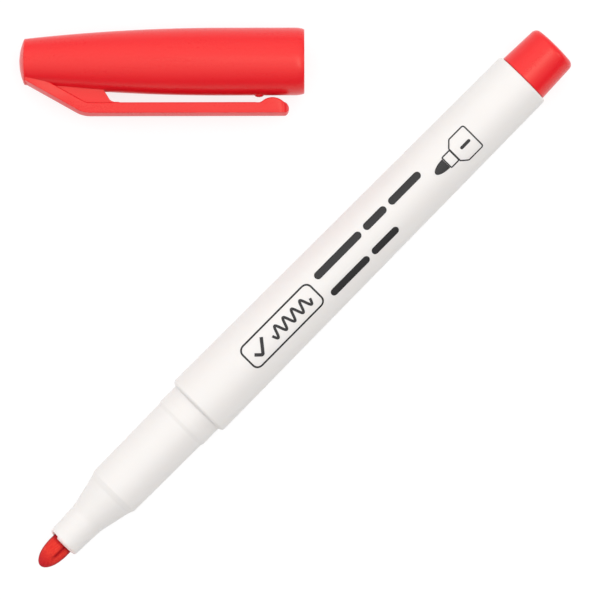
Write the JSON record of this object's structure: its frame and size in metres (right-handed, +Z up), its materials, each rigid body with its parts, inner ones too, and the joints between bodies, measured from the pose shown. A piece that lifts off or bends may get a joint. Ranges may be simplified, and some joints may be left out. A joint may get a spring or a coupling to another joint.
{
  "type": "whiteboard marker",
  "caption": "Slim bullet-tip dry-erase marker lying beside its removed cap, with a felt nib, an ink reservoir inside, a rear end plug and a flexing pocket clip.",
  "frame": {"origin": "on the marker's axis, in the middle of the collar that the cap seats on", "axes": "+X along the marker's axis, out of its nib; +Z up from the surface that it lies on; +Y to the side away from the removed cap"},
  "size_m": [0.1307, 0.0744, 0.0124],
  "materials": {
    "barrel_plastic": "satin moulded polypropylene",
    "red_plastic": "semi-gloss moulded polypropylene",
    "nib_felt": "ink-soaked bonded fibre",
    "ink_fibre": "ink-soaked fibre",
    "film": "thin clear film",
    "seal_plastic": "soft natural polyethylene"
  },
  "bodies": {
    "marker": {"barrel": "barrel_plastic", "nib": "nib_felt", "ink_reservoir": "ink_fibre", "reservoir_film": "film", "end_plug": "red_plastic"},
    "cap": {"cap_shell": "red_plastic", "cap_liner": "seal_plastic"},
    "clip": {"pocket_clip": "red_plastic"}
  },
  "joints": [
    {"name": "cap_swing", "type": "hinge", "parent": "marker", "child": "cap", "pos_m": [-0.03958, 0.11898, 0], "axis": [0, 0, 1], "range_deg": [-25, 45.15]},
    {"name": "clip_flex", "type": "hinge", "parent": "cap", "child": "clip", "pos_m": [-0.03131, -0.04597, 0], "axis": [0, 0, -1], "range_deg": [0, 6], "stiffness_Nm_per_rad": 0.5}
  ]
}
